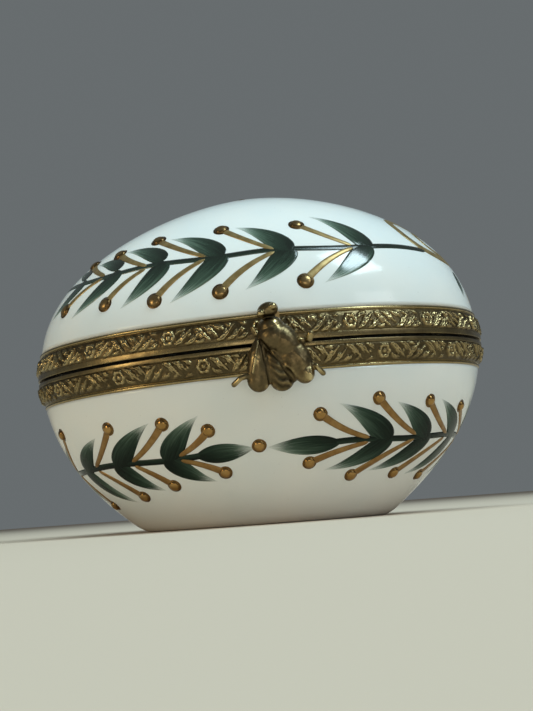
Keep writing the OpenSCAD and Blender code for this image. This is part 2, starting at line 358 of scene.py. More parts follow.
def make_brass(name, relief_named=None):
    """Antiqued brass. Where the mesh says how high its relief stands, the patina gathers in the hollows; on
    the bee that value also carries painted highlights, and on the lower band painted shade.
    """
    n = Nodes(name)
    at = n.object_place()
    cloud = n.noise(at, 260, 4)
    grain = n.noise(at, 3200, 3)
    height = n.value(relief_named) if relief_named else n.span(cloud, 0.1, 0.9, 0.42, 0.62)
    patina_and_painted_light = n.swing(n.swing(height, cloud, 0.5), grain, 0.3, clamp=True)
    colour = n.ramp(patina_and_painted_light, (0.0, (0.055, 0.042, 0.022)), (0.35, (0.15, 0.11, 0.055)),
                    (0.65, (0.33, 0.25, 0.12)), (1.0, (0.56, 0.45, 0.235)))
    n.put(n.shader, Base_Color=colour, Metallic=1.0, Roughness=n.span(patina_and_painted_light, 0.0, 1.0, 0.40, 0.2))
    pits = n.math("ADD", n.math("MULTIPLY", grain, 0.5), n.noise(at, 900, 3))
    n.put(n.shader, Normal=n.bump(pits, 0.00002))
    return n.material


def make_cement():
    n = Nodes("plaster_cement")
    at = n.object_place()
    colour = n.mix(n.noise(at, 1200, 4), (0.50, 0.47, 0.40), (0.72, 0.69, 0.62))
    n.put(n.shader, Base_Color=colour, Roughness=0.9, Normal=n.bump(n.noise(at, 2500, 4), 0.00005))
    return n.material


porcelain = make_porcelain()
# one enamel on both halves; the base's copy is darkened by painted shade
leaf_paints = {
    "lid": make_leaf_paint("lid_green_enamel", 0.9, 0.0),
    "base": make_leaf_paint("base_green_enamel_painted_shade", 0.12, 0.3),
}
# lit and shaded copies of one gold: the lid's is lighter as painted light, the base's darker and more orange
# as painted shade and dark reflection
gold_paints = {
    "lid": make_gold("lid_brushed_gold_painted_light", (0.33, 0.225, 0.088), (0.48, 0.35, 0.155), 0.7, 0.36, 4e-6),
    "base": make_gold("base_brushed_gold_painted_shade", (0.24, 0.125, 0.035), (0.34, 0.20, 0.07), 0.7, 0.34, 4e-6),
}
# the base's raised gold is likewise a darker, more orange copy, as painted shade
raised_golds = {
    "lid": make_gold("lid_raised_gold", (0.33, 0.215, 0.09), (0.41, 0.28, 0.125), 0.95, 0.3, 5e-7, True),
    "base": make_gold("base_raised_gold_painted_shade", (0.34, 0.19, 0.06), (0.42, 0.25, 0.09), 0.95, 0.2, 5e-7, True),
}
relief_brass = make_brass("embossed_brass", "relief")
plain_brass = make_brass("plain_brass")
cement = make_cement()


# ---- porcelain shells
AROUND = 224  # points round each loop
SEAT_BLEND = 0.6  # height over which the inside wall runs from the seat's line to the shell's
FOOT_ROUND, FLOOR_ROUND = 0.9, 3.0  # radii of the corners at the foot, and inside at the floor
FOOT_RING, FOOT_RECESS = 3.2, 0.35  # width of the foot ring, and depth of the hollow inside it
round_egg = np.arange(AROUND) * TURN / AROUND


def loops_between(shell, first, last, rows):
    """Loops of a shell from one share of its height to another, evenly spaced along a round section."""
    low, high = np.arcsin(first), np.arcsin(last)
    return [shell.point(round_egg, np.sin(low + (high - low) * k / rows)) for k in range(rows + 1)]


def skin(name, centre, loops, last_centre, body, node):
    """Closed porcelain skin through loops, from one middle point to another."""
    points = np.concatenate([[centre], *loops, [last_centre]])
    faces = (grid_faces(len(loops), AROUND, close_columns=True) + 1).tolist()
    end = len(points) - 1
    last = 1 + (len(loops) - 1) * AROUND
    for i in range(AROUND):
        j = (i + 1) % AROUND
        faces.append([0, 1 + j, 1 + i])
        faces.append([last + i, last + j, end])
    add_mesh(name, points, faces, porcelain, body, replaces=(node,))


def edge_loops(side, band):
    """Seat under the band, rounded lip under the flange, and inside wall down to the band's height."""
    edge, lip = HALF_GAP + FLANGE, 0.25
    outer = ((0, band), (0, edge + lip), (-0.003, edge + 0.06), (-0.008, edge))  # (more scale, height)
    loops = [level_loop(round_egg, side * z, SEAT_SCALE + more) for more, z in outer]
    return loops + [level_loop(round_egg, side * z, SEAT_SCALE - more, inset=WALL) for more, z in outer[::-1]]


def make_lid():
    crown = 0.99995
    outer = loops_between(lid_outside, lid_outside.share_at_z(round_egg, UPPER_BAND), crown, 60)
    first = lid_inside.share_at_z(round_egg, UPPER_BAND + SEAT_BLEND)
    loops = outer[::-1] + edge_loops(1, UPPER_BAND) + loops_between(lid_inside, first, crown, 40)
    skin("lid_dome_porcelain", [0, 0, lid_outside.h], loops, [0, 0, lid_inside.h], "lid", "lid_dome")


def foot_frame_loop(shell, h, inset):
    """Loop at height h over the foot, a distance inset inside the surface there."""
    p = shell.point(round_egg, shell.share_above_foot(round_egg, h))
    k = 1 - inset / np.linalg.norm(p[:, :2], axis=1)
    return np.stack([p[:, 0] * k, p[:, 1] * k, p[:, 2] - p[:, 0] * (k - 1) * math.tan(RIM_TILT)], -1)


def foot_middle(h):
    drop = h - RIM_HEIGHT
    return [drop * math.sin(RIM_TILT), 0, drop * math.cos(RIM_TILT)]


def foot_corner(shell, floor, radius, stretch, steps):
    """Loops round a corner, stretched inwards, between the shell's side and a floor at the given height."""
    loops = []
    for a in np.linspace(0, math.pi / 2, steps + 1)[1:]:
        inset = stretch * radius * (1 - math.cos(a))
        loops.append(foot_frame_loop(shell, floor + radius * (1 - math.sin(a)), inset))
    return loops


def foot_sole():
    """Loops over the flat foot ring and into the glazed hollow inside it."""
    sole = [foot_frame_loop(base_outside, 0, inset) for inset in (FOOT_RING - 0.4, FOOT_RING)]
    for k in range(1, 5):
        rise = FOOT_RECESS * math.sin(k / 4 * math.pi / 2)
        sole.append(foot_frame_loop(base_outside, 0, FOOT_RING + 0.25 * k) + [0, 0, rise])
    middle = np.array([foot_middle(FOOT_RECESS)])
    return sole + [sole[-1] * [1 - t, 1 - t, 1] + middle * [t, t, 0] for t in (0.35, 0.7)]


def make_base():
    first = base_outside.share_at_z(round_egg, LOWER_BAND)
    last = base_outside.share_above_foot(round_egg, FOOT_ROUND)
    outer = loops_between(base_outside, first, last, 56)
    outer += foot_corner(base_outside, 0, FOOT_ROUND, 0.75, 5)
    first = base_inside.share_at_z(round_egg, LOWER_BAND + SEAT_BLEND)
    last = base_inside.share_above_foot(round_egg, FLOOR + FLOOR_ROUND)
    inner = loops_between(base_inside, first, last, 36)
    inner += foot_corner(base_inside, FLOOR, FLOOR_ROUND, 1.3, 8)
    loops = inner[::-1] + edge_loops(-1, LOWER_BAND)[::-1] + outer + foot_sole()
    skin("base_bowl_porcelain", foot_middle(FLOOR), loops, foot_middle(FOOT_RECESS), "base", "base_bowl")


make_lid()
make_base()


# ---- painted sprays
SUNK = 0.03  # how far the paint's closed underside lies under the glaze
LEAF_LIFT, STEM_LIFT, STALK_LIFT, RIBBON_LIFT = 0.045, 0.04, 0.08, 0.06  # heights of the mounds
STEM_WIDTH, STALK_WIDTH = 0.92, 1.08
PLAIN_TONE = 0.5  # for gold, which takes no streaks from it


def brush(shell, path, width, lift, profile, rows, columns, ground=0.006):
    """A stroke of paint along a path of surface points: one low mound, closed under the glaze."""
    t = (1 - np.cos(np.linspace(0, math.pi, rows))) / 2
    spine = shell.drape(along_path(np.asarray(path, float), t))
    ahead = np.gradient(spine, axis=0)
    ahead /= np.linalg.norm(ahead, axis=1, keepdims=True)
    side = np.cross(shell.normal(spine), ahead)
    v = np.linspace(-1, 1, columns)
    half = width / 2 * profile(t)
    points = spine[:, None] + side[:, None] * (half[:, None] * v[None])[..., None]
    mound = lift * (1 - v ** 4)[None] * np.minimum(1, half / (0.3 * width))[:, None] + ground
    sunk = shell.drape(points[:, [0, -1]].reshape(-1, 3), -SUNK)
    points = shell.drape(points.reshape(-1, 3), mound.ravel())
    uv = np.stack(np.meshgrid(t, (v + 1) / 2, indexing="ij"), -1)
    uv = np.concatenate([uv.reshape(-1, 2), uv[:, [0, -1]].reshape(-1, 2)])
    top = grid_faces(rows, columns).tolist()
    return np.concatenate([points, sunk]), top + stroke_underside(rows, columns), uv, len(top)


def along_path(path, t):
    """Points at shares t of a path: a Bezier curve of up to four points, or a line through more."""
    if len(path) <= 4:
        return bezier(path, t)
    knots = np.linspace(0, 1, len(path))
    return np.stack([np.interp(t, knots, path[:, k]) for k in range(3)], -1)


def stroke_underside(rows, columns):
    """Edges, underside and ends of a stroke, whose two sunk edges come after its rows of top points."""
    faces, end = [], rows * columns
    for i in range(rows - 1):
        a, b, low = i * columns, (i + 1) * columns, end + 2 * i
        faces.append([a, b, low + 2, low])
        faces.append([a + columns - 1, low + 1, low + 3, b + columns - 1])
        faces.append([low, low + 2, low + 3, low + 1])
    faces.append([*range(columns), end + 1, end])
    faces.append([*range(end - 1, end - columns - 1, -1), end + 2 * rows - 2, end + 2 * rows - 1])
    return faces


def bezier(control, t):
    """Bezier curve through its first and last of two to four control points."""
    t = np.asarray(t)[:, None]
    n = len(control) - 1
    return sum(math.comb(n, k) * (1 - t) ** (n - k) * t ** k * control[k] for k in range(n + 1))


def leaf_profile(t):
    """Half widths of a leaf that is broad at its foot and drawn out to a thin tail."""
    return np.maximum(t, 1e-6) ** 0.38 * np.maximum(1 - t, 0) ** 1.2 / 0.418 + 0.01


def lens_profile(t):
    return np.maximum(t, 1e-6) ** 0.8 * np.maximum(1 - t, 0) ** 1.1 / 0.2745 + 0.02


def even_profile(t):
    return np.clip(np.minimum(t, 1 - t) / 0.012, 0.15, 1) ** 0.5


def stalk_profile(t):
    return (0.58 + 0.42 * t) * np.clip(np.minimum(t, 1 - t) / 0.06, 0.1, 1) ** 0.5


def bowed(shell, start, end, bow):
    """Three control points from start to end, bowed to the right of that way by a share of the length."""
    a, b = shell.at(*start), shell.at(*end)
    middle = (a + b) / 2
    side = np.cross(shell.normal(middle[None])[0], b - a)
    return [a, middle - side * bow * 2, b]


def add_dot(patches, shell, where, disc):
    """A raised gold dot on a flat gold disc."""
    dome, height, spokes = 0.77 * disc, 0.42, 28
    middle = shell.at(*where)
    normal = shell.normal(middle[None])[0]
    east = np.cross([0, 0, 1.0], normal)
    east /= np.linalg.norm(east)
    north = np.cross(normal, east)
    angle = np.arange(spokes) * TURN / spokes
    wobble = 1 + 0.03 * np.cos(2 * angle + where[0])
    rings = [(dome * math.sin(a), 0.05 + height * math.cos(a)) for a in np.linspace(0.16, math.pi / 2, 9)]
    rings += [(dome + 0.06, 0.055), (disc - 0.12, 0.05), (disc - 0.03, 0.035), (disc, 0.004), (disc, -SUNK)]
    points, uv = [middle + normal * (0.05 + height)], [(0.5, 0.5)]
    for r, h in rings:
        ring = middle + r * (np.outer(np.cos(angle) * wobble, east) + np.outer(np.sin(angle), north))
        points.extend(shell.drape(ring, h))
        uv.extend([(0.5 + r * math.cos(a) / 4, 0.5 + r * math.sin(a) / 4) for a in angle])
    faces = [[0, 1 + i, 1 + (i + 1) % spokes] for i in range(spokes)]
    faces += (grid_faces(len(rings), spokes, close_columns=True) + 1).tolist()
    top = len(faces) - spokes
    faces.append([1 + (len(rings) - 1) * spokes + i for i in range(spokes)])
    patches.add(np.array(points), faces, np.array(uv), top, PLAIN_TONE)


class Spray:
    """A branch of laurel painted along a level line of the egg. Angles are in degrees round the rim."""

    def __init__(self, shell, body, dot_size):
        self.shell, self.body, self.dot_size = shell, body, dot_size
        self.leaves, self.stalks, self.dots = Patches(), Patches(), Patches()
        self.random = random.Random(body)

    def stem(self, start, end, level):
        wave, dark_share = 0.15, 0.3
        path = [self.shell.at(d, level + wave * math.sin(d / 7.0)) for d in np.linspace(start, end, 40)]
        points, faces, uv, top = brush(self.shell, path, STEM_WIDTH, STEM_LIFT, even_profile, 90, 5)
        self.leaves.add(points, faces, uv * [dark_share, 1], top, 0.3)

    def leaf(self, start, end, width=2.7, bow=0.0, profile=lens_profile):
        tone = self.random.uniform(0.25, 0.75)
        path = bowed(self.shell, start, end, bow)
        ground = 0.008 + 0.01 * tone  # keeps crossing leaves apart
        self.leaves.add(*brush(self.shell, path, width, LEAF_LIFT, profile, 30, 13, ground), tone)

    def pair(self, foot, level, up, low, widths, bow, gap=0.0):
        """Two leaves whose feet meet on the stem near foot, or a gap apart, with tips at up and low."""
        across = 0.3 if up[1] < low[1] else -0.3
        slip = self.random.uniform(0.2, 1.3) * (1 if up[0] > foot else -1)
        self.leaf((foot + slip, level + across + gap), up, widths[0] * (1 - 0.1 * gap), bow, leaf_profile)
        self.leaf((foot, level - across), low, widths[1], -0.9 * bow, leaf_profile)

    def berry(self, start, end, bow):
        """A gold stalk with a raised dot at its end."""
        path = bowed(self.shell, start, end, bow)
        stroke = brush(self.shell, path, STALK_WIDTH, STALK_LIFT, stalk_profile, 16, 7, 0.02)
        self.stalks.add(*stroke, PLAIN_TONE)
        self.dot(end)

    def dot(self, where):
        add_dot(self.dots, self.shell, where, self.dot_size)

    def branch(self, turn, level, pairs, berries, widths, bow, step):
        """Leaf pairs and berries along a stem. turn gives an angle's place on this side of the egg."""
        for foot, up, low, size, *gap in pairs:
            tips = (turn(up[0]), up[1]), (turn(low[0]), low[1])
            self.pair(turn(foot), level, *tips, [width * size for width in widths], bow, *gap)
        for foot, up, low in berries:
            self.berry((turn(foot), level + step), (turn(up[0]), up[1]), -0.8 * bow)
            self.berry((turn(foot), level - step), (turn(low[0]), low[1]), 0.8 * bow)

    def finish(self):
        self.leaves.build(self.body + "_laurel_leaves", leaf_paints[self.body], self.body, "leaf_paint")
        self.stalks.build(self.body + "_gold_strokes", gold_paints[self.body], self.body, "gold_paint")
        self.dots.build(self.body + "_gold_dots", raised_golds[self.body], self.body, "gold_paint")


# The front, and the back as its mirror image: what becomes of an angle, and of a stroke's bow
SIDES = ((lambda degrees: degrees, 1), (lambda degrees: 360 - degrees, -1))

# Each leaf pair is its foot on the stem, then its upper and its lower tip as (degrees, z), its size, and
# on the lid the gap between its upper leaf and the stem.
# Each pair of berries is its foot on the stem, then its upper and its lower dot.
NARROW_PAIRS = (
    (182, (190, 9.6), (189.5, 18.4), 0.75), (194.5, (209, 9.3), (209, 18.6), 0.9),
    (211, (229, 8.4), (224, 17.4), 1.0), (230, (245, 8.2), (245, 16.9), 1.0),
)
NARROW_BERRIES = (
    (185, (193, 8.0), (192, 18.6)), (202, (215, 8.4), (213, 17.9)),
    (218, (233, 8.8), (228, 16.9)), (235, (247, 10.3), (249, 15.9)),
)
BLUNT_PAIRS = (
    (310.5, (290, 8.4), (287, 16.8), 1.0), (327.5, (309.5, 8.7), (305.5, 17.4), 0.96),
    (344, (327, 8.6), (325, 18.3), 0.88), (359, (346, 8.2), (343.5, 18.6), 0.72),
)
BLUNT_BERRIES = (
    (302, (284, 9.6), (281, 15.7)), (320.5, (303, 8.1), (299, 17.8)),
    (337, (322, 8.8), (319, 18.0)), (354, (339, 9.5), (336, 18.5)),
)
LID_PAIRS = (
    (309, (295, 18.3), (289, 7.7), 1.0, 0), (281.5, (261, 17.3), (264, 7.6), 1.05, 0),
    (257.5, (233, 16.9), (240, 7.0), 1.0, 0.3), (236.5, (214, 16.3), (224, 7.4), 0.95, 0.95),
    (219, (202, 15.4), (205, 7.6), 0.85, 1.15), (203, (190, 14.9), (191, 8.4), 0.75, 1.1),
)
LID_BERRIES = (
    (302.5, (287, 16.9), (283, 8.1)), (275, (255, 17.2), (256, 7.7)), (250.5, (227, 17.1), (235, 7.7)),
    (229, (211, 16.2), (218, 8.5)), (212, (197, 15.8), (200, 9.2)),
)


def paint_base():
    spray = Spray(base_outside, "base", 0.98)
    level, widths = 13.4, (3.2, 2.85)
    for turn, hand in SIDES:
        spray.dot((turn(263), 12.9))
        for ends, last_leaf, pairs, berries, bow in (
                ((180, 243), (240.5, 261.5, 13.1), NARROW_PAIRS, NARROW_BERRIES, -0.06),
                ((360, 289), (292, 266, 13.2), BLUNT_PAIRS, BLUNT_BERRIES, 0.06)):
            spray.stem(turn(ends[0]), turn(ends[1]), level)
            spray.leaf((turn(last_leaf[0]), level), (turn(last_leaf[1]), last_leaf[2]))
            spray.branch(turn, level, pairs, berries, widths, bow * hand, -0.3)
    spray.finish()


# Places (degrees, z) along the gold ribbon's edges, at the blunt end of the lid
BOW_LOOP = ((359.5, 12.6), (353, 15.6), (345, 17.9), (337, 18.5), (332, 17.4), (330, 15.1), (332.5, 13.1),
            (341, 11.9), (351, 11.7), (359, 12.4))
BOW_FOLD = ((357, 13.2), (350, 15.6), (343.5, 16.6), (339.5, 15.6), (338.5, 14.2), (341, 13.1), (348, 12.4))
BOW_TAIL = ((359, 12.4), (355, 10.4), (353, 8.2), (352.5, 6.0))


def ribbon_loop(spray, places, width):
    """A gold ribbon's edge, as one stroke through the places."""
    path = np.array([spray.shell.at(d, z) for d, z in places])
    smooth = along_path(path, np.linspace(0, 1, 12 * len(path)))
    for _ in range(30):
        smooth[1:-1] = (smooth[:-2] + 2 * smooth[1:-1] + smooth[2:]) / 4
    spray.stalks.add(*brush(spray.shell, smooth, width, RIBBON_LIFT, even_profile, 90, 7), PLAIN_TONE)


def paint_crest(spray):
    """Two gold arcs round a dot on the middle of the lid's top, and a sprig of two leaves beside them."""
    spray.dot((180, 24.96))
    for side in (-1, 1):
        arc = ((-4.4, 0.6, 25.0), (-2.9, 3.4, 25.0), (-0.6, 3.4, 25.0), (1.4, 0.6, 25.0))
        arc = np.array(arc) * [1, side, 1]
        spray.stalks.add(*brush(spray.shell, arc, 0.8, 0.05, stalk_profile, 40, 7), PLAIN_TONE)
        leaf = np.array(((-5.0, 0.2, 24.9), (-5.6, 1.5, 24.8), (-6.9, 2.4, 24.7))) * [1, side, 1]
        spray.leaves.add(*brush(spray.shell, leaf, 1.2, LEAF_LIFT, lens_profile, 24, 9), 0.4)


def paint_lid():
    spray = Spray(lid_outside, "lid", 1.15)
    level, widths = 12.9, (3.1, 3.0)
    for turn, hand in SIDES:
        spray.stem(turn(333), turn(186), level)
        spray.branch(turn, level, LID_PAIRS, LID_BERRIES, widths, 0.06 * hand, 0.2)
        spray.leaf((turn(344.5), 10.2), (turn(342.5), 6.0), 1.8)
        for places, width in ((BOW_LOOP, 1.5), (BOW_FOLD, 1.0), (BOW_TAIL, 1.0)):
            ribbon_loop(spray, [(turn(d), z) for d, z in places], width)
    spray.dot((0, 12.6))
    paint_crest(spray)
    spray.finish()


paint_base()
paint_lid()


# ---- rims and gallery bands
def ring_angles(columns):
    """Angles at equal steps along the outline of the bands."""
    fine = np.linspace(0, TURN, 4001)
    x, y = outline(fine, 1.0, 0.6)
    run = np.concatenate([[0], np.cumsum(np.hypot(np.diff(x), np.diff(y)))])
    return np.interp(np.arange(columns) * run[-1] / columns, run, fine), run[-1]


def sweep_ring(name, side, section, columns, body, node):
    """Sweeps a closed section of (outward, height) round the outline."""
    theta = ring_angles(columns)[0]
    rows = [level_loop(theta, side * z, grow=out) for out, z in section]
    faces = grid_faces(len(section), columns, close_rows=True, close_columns=True)
    add_mesh(name, np.concatenate(rows), faces, plain_brass, body, replaces=(node,))


FIELD_LOW = {1: 0.92, -1: 0.72}  # the embossed fields start this far above and below the seam plane
RELIEF = 0.36  # height of the embossing
WEAR_AND_SHADE = {1: (0.24, 0.74), -1: (0.15, 0.68)}  # brightness of the patina in the hollows, and how much brighter the worn tops; the lower band's values are lower, as painted shade
PLAIN_WORN = 0.7  # the same for the plain parts of the bands
WIRE_R = 0.25  # edge wire of the bands
REPEATS = 15  # of the stamped pattern, round each band
LOWER_SHIFT = 0.37  # of a repeat, between the upper and the lower pattern
PATTERN_HIGH = 2.4  # height that the pattern is drawn in
FIELD_ROWS = 32
BAND_COLUMNS = REPEATS * 128


def comma(s, t, control, radius):
    """Height at (s, t) of one leaf of the scroll: a tapering curved ridge with a sunk midrib."""
    k = np.linspace(0, 1, 18)
    spine = bezier(np.array(control, float), k)
    widths = radius * (np.sin(math.pi * k ** 0.7) * 0.85 + 0.15) * (1 + 0.17 * np.sin(24 * k))
    near = (np.hypot(s[..., None] - spine[:, 0], t[..., None] - spine[:, 1]) / widths).min(-1)
    return np.sqrt(np.maximum(1 - near ** 2, 0)) * (0.3 + 0.7 * np.clip(near / 0.5, 0, 1))


def rose(s, t, at, radius):
    """Height at (s, t) of a flower: a scalloped ring of petals round a button."""
    x, y = s - at[0], t - at[1]
    r, petals = np.hypot(x, y) / radius, np.cos(6 * np.arctan2(y, x))
    ring = np.sqrt(np.maximum(1 - ((r - 0.7 - 0.05 * petals) / 0.27) ** 2, 0)) * (0.85 + 0.15 * petals)
    heart = np.sqrt(np.maximum(1 - (r / 0.34) ** 2, 0))
    return np.maximum(ring, 0.85 * heart)


# Blades of one repeat of the scroll, after its flower: root, bend and tip at (along, up), and radius
BLADES = (
    ((2.5, 0.3), (3.4, 0.7), (4.9, 2.2), 0.34), ((3.9, 0.2), (5.0, 0.3), (5.8, 1.6), 0.30),
    ((2.6, 1.5), (3.1, 2.3), (4.0, 2.2), 0.25), ((5.2, 2.2), (6.0, 1.4), (7.4, 0.2), 0.33),
    ((5.3, 0.4), (5.8, 0.1), (6.5, 0.3), 0.22), ((6.1, 2.3), (7.2, 1.9), (8.3, 0.6), 0.30),
    ((7.3, 2.3), (8.2, 2.3), (9.2, 1.3), 0.27), ((8.2, 0.2), (9.3, 0.4), (10.6, 2.2), 0.34),
    ((9.6, 0.2), (10.6, 0.4), (11.6, 1.6), 0.30), ((9.2, 2.3), (9.7, 2.3), (10.1, 1.9), 0.18),
    ((11.0, 0.2), (11.7, 0.2), (12.3, 0.7), 0.22), ((11.0, 2.3), (11.6, 2.4), (12.2, 2.0), 0.20),
)


def scroll_leaves(period):
    """One repeat of the scroll, as curves with a radius: blades, a lobe at the side of each, and buds."""
    chance = random.Random(11)
    leaves = [(blade[:3], blade[3]) for blade in BLADES]
    for root, bend, tip, radius in BLADES:
        a, b = bezier(np.array([root, bend, tip]), [0.45, 0.55])
        ahead = (b - a) / np.linalg.norm(b - a)
        out = np.array([-ahead[1], ahead[0]]) * (1 if a[1] < 1.2 else -1)
        leaves.append(([a, a + out * radius, a + ahead * 0.7 + out * (radius + 0.12)], 0.2))
    for _ in range(6):
        bud = (chance.uniform(2.6, period), chance.uniform(0.2, 2.2))
        leaves.append(([bud, (bud[0] + 0.08, bud[1]), (bud[0] + 0.16, bud[1] + 0.06)], 0.17))
    return leaves


def scroll_relief(columns, shares, girth):
    """Heights from 0 to 1 of the scroll round a band, at shares of the field's height: one row for each."""
    period = girth / REPEATS
    per = columns // REPEATS
    s, t = np.meshgrid(np.arange(per) * period / per, np.asarray(shares) * PATTERN_HIGH)
    height = np.zeros_like(s)
    for shift in (-period, 0.0, period):
        for control, radius in scroll_leaves(period):
            height = np.maximum(height, comma(s + shift, t, control, radius))
        ground = np.hypot((s + shift - 1.45) / 1.15, (t - 1.2) / 1.15) < 1
        height = np.where(ground, rose(s + shift, t, (1.45, 1.2), 1.02), height)
    grain = np.sin(s * 9.1 + 3 * np.sin(t * 5.0)) * np.sin(t * 8.3 + s * 2.7)
    grain += 0.6 * np.sin(s * 19.3 + 2 * np.sin(t * 9.0)) * np.sin(t * 15.1 - s * 4.9)
    return np.tile(np.clip(height + 0.12 * grain, 0, 1), (1, REPEATS))


def barrel(z, side):
    """How far a rim stands out at a distance z from the seam: the pair swells like a barrel."""
    return 0.52 - (0.042 if side > 0 else 0.065) * z * z


def gallery_section(top, side):
    """Section of a gallery band whose far edge is at height top: bulging field, groove and edge wire.

    Each point is (outward, height, share of the relief, share of the field's height)."""
    field_low, field_high = FIELD_LOW[side], top - 2 * WIRE_R - 0.05
    section = [(-0.25, field_low, 0, 0), (barrel(field_low, side) - 0.1, field_low, 0, 0)]
    for share in np.linspace(0.01, 0.99, FIELD_ROWS):
        z = field_low + share * (field_high - field_low)
        edge = min(1.0, 9 * share, 5 * (1 - share))
        section.append((barrel(z, side) - 0.12 + 0.1 * edge, z, edge, share))
    section.append((barrel(field_high, side) - 0.14, field_high + 0.02, 0, 0))
    for a in np.radians(np.linspace(-80, 100, 9)):
        out = barrel(top, side) - 0.02 + WIRE_R * math.cos(a)
        section.append((out, top - WIRE_R + WIRE_R * math.sin(a), 0, 0))
    section.append((barrel(top, side) - 0.28, top - 0.03, 0, 0))
    return section


def make_band(which, side, body, top):
    theta, girth = ring_angles(BAND_COLUMNS)
    section = gallery_section(top, side)
    relief = scroll_relief(BAND_COLUMNS, [p[3] for p in section], girth)
    if side < 0:
        relief = np.roll(relief, int(LOWER_SHIFT * BAND_COLUMNS / REPEATS), axis=1)
    rows, values = [], []
    hollow, more = WEAR_AND_SHADE[side]
    for (out, z, weight, _), raised in zip(section, relief):
        rows.append(level_loop(theta, side * z, grow=out + RELIEF * weight * raised))
        values.append(hollow + more * weight * raised if weight else np.full(BAND_COLUMNS, PLAIN_WORN))
    faces = grid_faces(len(section), BAND_COLUMNS, close_rows=True, close_columns=True)
    add_mesh(which + "_gallery_embossing", np.concatenate(rows), faces, relief_brass, body,
             values={"relief": np.concatenate(values)}, replaces=(which + "_gallery_band",))


def make_cement_bed(which, side, body, top):
    """Cement between the porcelain's seat and the back of the band, thinner where the band draws in."""
    low, high = HALF_GAP + FLANGE + 0.02, top - 0.05
    rows = [level_loop(round_egg, side * z, SEAT_SCALE) for z in (low, high)]
    for z in np.linspace(high, low, 8):
        rows.append(level_loop(round_egg, side * z, SEAT_SCALE, max(0.04, barrel(z, side) + 0.18)))
    faces = grid_faces(len(rows), AROUND, close_rows=True, close_columns=True)
    add_mesh(which + "_cement_ring", np.concatenate(rows), faces, cement, body,
             replaces=(which + "_cement_bed",))


def quarter(middle, radius, first, last):
    """Points of (outward, height) on a round edge."""
    return [(middle[0] + radius * math.cos(a), middle[1] + radius * math.sin(a))
            for a in np.radians(np.linspace(first, last, 5))]


def collar_section(side):
    """L-shaped rim: plain strip at the seam, flat flange and skirt inside the mouth."""
    low, high, edge, out = HALF_GAP, FIELD_LOW[side], 0.07, barrel(0.6, side)
    skirt_in, skirt_out = -WALL - 0.85, -WALL - 0.5
    section = quarter((out - edge, low + edge), edge, -90, 0)
    section += quarter((out - edge, high - edge), edge, 0, 90)
    section += [(0.3, high), (0.2, min(HALF_GAP + FLANGE, high - 0.03))]
    section += [(skirt_out, HALF_GAP + FLANGE), (skirt_out, high + 2.2)]
    section += quarter(((skirt_in + skirt_out) / 2, high + 2.2), (skirt_out - skirt_in) / 2, 0, 180)[1:]
    section += [(skirt_in, low + 0.1), (skirt_in + 0.08, low)]
    return section


for which, side, body, top in (("upper", 1, "lid", UPPER_BAND), ("lower", -1, "base", LOWER_BAND)):
    make_cement_bed(which, side, body, top)
    make_band(which, side, body, top)
    sweep_ring(which + "_rim_flange", side, collar_section(side), 360, body, which + "_rim_collar")


# ---- the bee
def bee_blob(bm, at, radii, angle, forward):
    """Adds an ellipsoid at (across, up), turned in the bee's plane and moved forward of its back."""
    ball = bmesh.ops.create_icosphere(bm, subdivisions=4, radius=1.0)
    turn = Matrix.Rotation(math.radians(angle), 4, "Y")
    move = Matrix.Translation((at[0], -forward, at[1])) @ turn @ Matrix.Diagonal((*radii, 1))
    bmesh.ops.transform(bm, matrix=move, verts=ball["verts"])


def bee_rod(bm, points, radius):
    """Adds a rod of overlapping balls through points of (across, forward, up)."""
    for a, b in zip(points, points[1:]):
        a, b = Vector(a), Vector(b)
        steps = max(2, int((b - a).length / (radius * 0.4)))
        for k in range(steps + 1):
            p = a.lerp(b, k / steps)
            ball = bmesh.ops.create_icosphere(bm, subdivisions=2, radius=radius)
            bmesh.ops.translate(bm, vec=(p.x, -p.y, p.z), verts=ball["verts"])


# Masses of the casting, a bee with folded wings: (across, up) from the middle of the seam, radii, angle
# in the bee's plane, and how far it is moved forward
BEE_MASSES = (
    ((0.5, -3.0), (1.9, 1.35, 3.2), 0, 0.3),  # abdomen
    ((0.8, -5.0), (1.6, 1.2, 1.5), 0, 0.2),
    ((1.9, -4.0), (1.4, 1.1, 1.6), 0, 0.2),
    ((-2.15, -2.6), (1.25, 1.1, 3.5), 12, 0.6),  # left wing
    ((-1.55, -3.6), (1.2, 1.0, 2.6), 4, 0.5),
    ((-2.2, -4.75), (1.5, 1.0, 1.65), 0, 0.5),
    ((1.5, -0.2), (2.0, 2.1, 3.0), -33, 0.4),  # right wing
    ((2.7, -2.5), (2.05, 1.6, 3.1), -24, 0.65),
    ((3.75, -4.5), (1.3, 1.25, 1.35), 0, 0.8),
    ((0.05, 1.8), (1.75, 1.95, 1.6), 0, 0.3),  # thorax
    ((0.3, 0.6), (2.2, 2.3, 2.1), 0, 0.25),
    ((-0.2, 4.05), (1.4, 1.3, 1.02), -15, 1.0),  # head
    ((-1.2, 3.5), (0.55, 0.7, 0.52), 0, 2.0),  # eyes
    ((0.4, 4.3), (0.6, 0.75, 0.52), -15, 1.9),
)
# Legs, as points of (across, forward, up) and a radius. The second is the knob at the end of the first.
BEE_LEGS = (
    (((2.6, 0.6, 0.2), (4.2, 0.6, -0.3), (4.75, 0.7, -0.2)), 0.34),
    (((4.75, 0.9, -0.2), (4.95, 1.2, 0.45)), 0.5),
    (((4.3, 0.8, -3.3), (5.3, 1.1, -3.8), (6.1, 0.7, -4.7)), 0.38),
    (((-2.9, 0.8, -4.1), (-4.5, 1.0, -4.4), (-5.4, 0.5, -5.1)), 0.38),
)


def bee_form():
    bm = bmesh.new()
    for mass in BEE_MASSES:
        bee_blob(bm, *mass)
    for points, radius in BEE_LEGS:
        bee_rod(bm, points, radius)
    mesh = bpy.data.meshes.new("bee_form")
    bm.to_mesh(mesh)
    bm.free()
    return mesh


